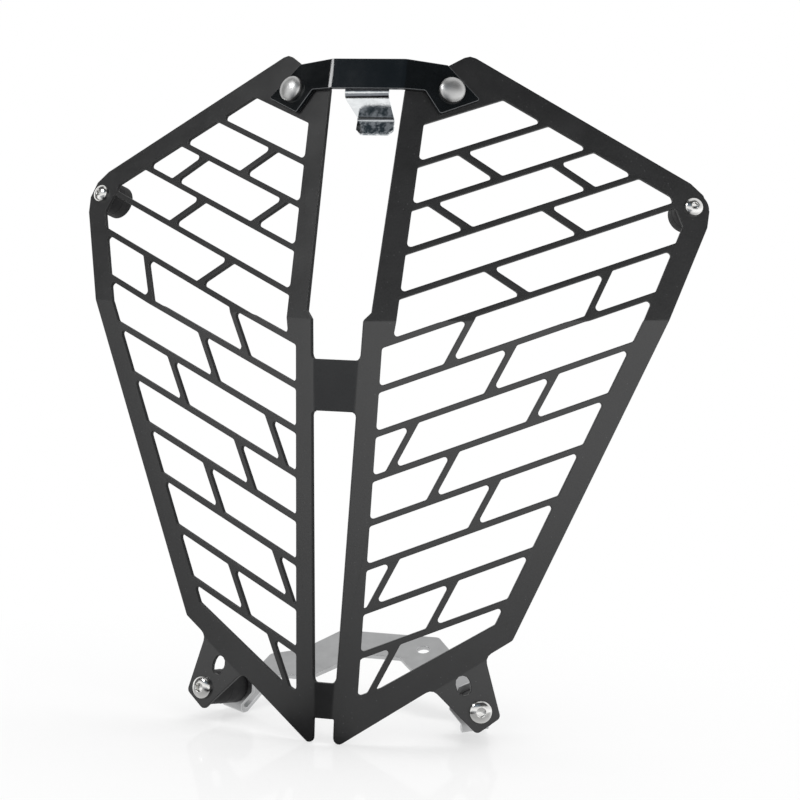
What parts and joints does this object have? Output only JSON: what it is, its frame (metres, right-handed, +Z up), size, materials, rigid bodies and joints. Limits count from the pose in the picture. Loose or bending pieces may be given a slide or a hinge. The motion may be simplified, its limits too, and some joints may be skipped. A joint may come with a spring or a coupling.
{
  "type": "motorcycle headlight guard",
  "caption": "V-shaped black sheet-metal headlight guard pierced with brick-shaped cells, with its top bracket, hook clip, rear mounting bracket, rubber stand-offs and screws.",
  "frame": {"origin": "on the floor under the guard, on its centre plane, midway between the front face of the centre strip and the back edge of the lower bracket", "axes": "+X to the right as seen from in front, +Y back towards the lamp, +Z up"},
  "size_m": [0.3344, 0.128, 0.3399],
  "materials": {
    "black_coat": "fine satin black powder coat",
    "black_gloss": "smooth gloss black coat",
    "bright_zinc": "bright zinc plate on steel",
    "polished_steel": "polished steel screw heads",
    "black_rubber": "matt black moulded rubber",
    "brass": "bare turned brass"
  },
  "bodies": {
    "root": {"grille": "black_coat", "top_bracket": "black_gloss", "hook_clip": "bright_zinc", "lower_bracket": "bright_zinc", "dome_bolt_right": "polished_steel", "dome_bolt_left": "polished_steel", "corner_screw_right": "polished_steel", "corner_screw_left": "polished_steel", "foot_screw_right": "polished_steel", "foot_screw_left": "polished_steel", "dome_washer_right": "bright_zinc", "dome_washer_left": "bright_zinc", "dome_nut_right": "bright_zinc", "dome_nut_left": "bright_zinc", "foot_washer_right": "bright_zinc", "foot_washer_left": "bright_zinc", "foot_nut_right": "bright_zinc", "foot_nut_left": "bright_zinc", "corner_buffer_right": "black_rubber", "corner_buffer_left": "black_rubber", "foot_spacer_right": "black_rubber", "foot_spacer_left": "black_rubber", "corner_insert_right": "brass", "corner_insert_left": "brass"}
  },
  "joints": []
}
